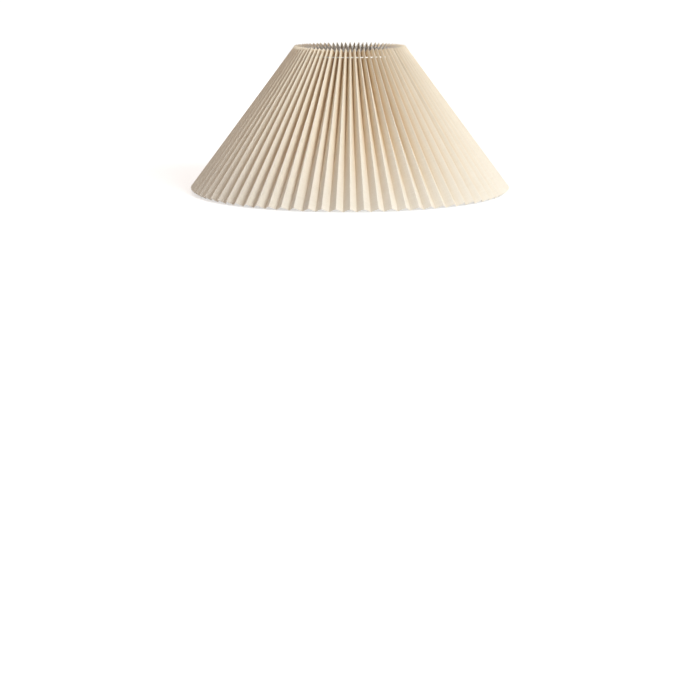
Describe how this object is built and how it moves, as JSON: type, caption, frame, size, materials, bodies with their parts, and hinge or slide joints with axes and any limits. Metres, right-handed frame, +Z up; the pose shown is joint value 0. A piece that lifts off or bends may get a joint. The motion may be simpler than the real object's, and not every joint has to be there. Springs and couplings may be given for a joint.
{
  "type": "lamp shade",
  "caption": "Large conical pleated linen lamp shade with a drawn neck, on a ribbed wire frame with a recessed fitter ring for a lamp holder.",
  "frame": {"origin": "on the shade's axis at the height of the lower edge", "axes": "+Z up along the axis, from the wide lower edge to the narrow upper edge; -Y is the front, where one outer fold faces the viewer; +X is the viewer's right"},
  "size_m": [0.6006, 0.6006, 0.2704],
  "materials": {
    "linen": "natural linen weave laminated on a thin white film, sharp accordion folds",
    "cord": "twisted cotton, off-white",
    "frame_wire": "satin white powder coat on welded wire",
    "fitter": "satin white powder coat on pressed steel",
    "reducer": "white moulded plastic"
  },
  "bodies": {
    "shade": {"pleated_cover_right": "linen", "pleated_cover_left": "linen", "draw_cord": "cord", "upper_ring": "frame_wire", "lower_ring": "frame_wire", "frame_rib_1": "frame_wire", "frame_rib_2": "frame_wire", "frame_rib_3": "frame_wire", "frame_rib_4": "frame_wire", "frame_rib_5": "frame_wire", "frame_rib_6": "frame_wire", "spider_arm_1": "frame_wire", "spider_arm_2": "frame_wire", "spider_arm_3": "frame_wire", "fitter_ring": "fitter"},
    "reducer": {"reducer_ring": "reducer"}
  },
  "joints": [
    {"name": "reducer_lift", "type": "slide", "parent": "shade", "child": "reducer", "axis": [0, 0, 1], "range_m": [0, 0.065]}
  ]
}
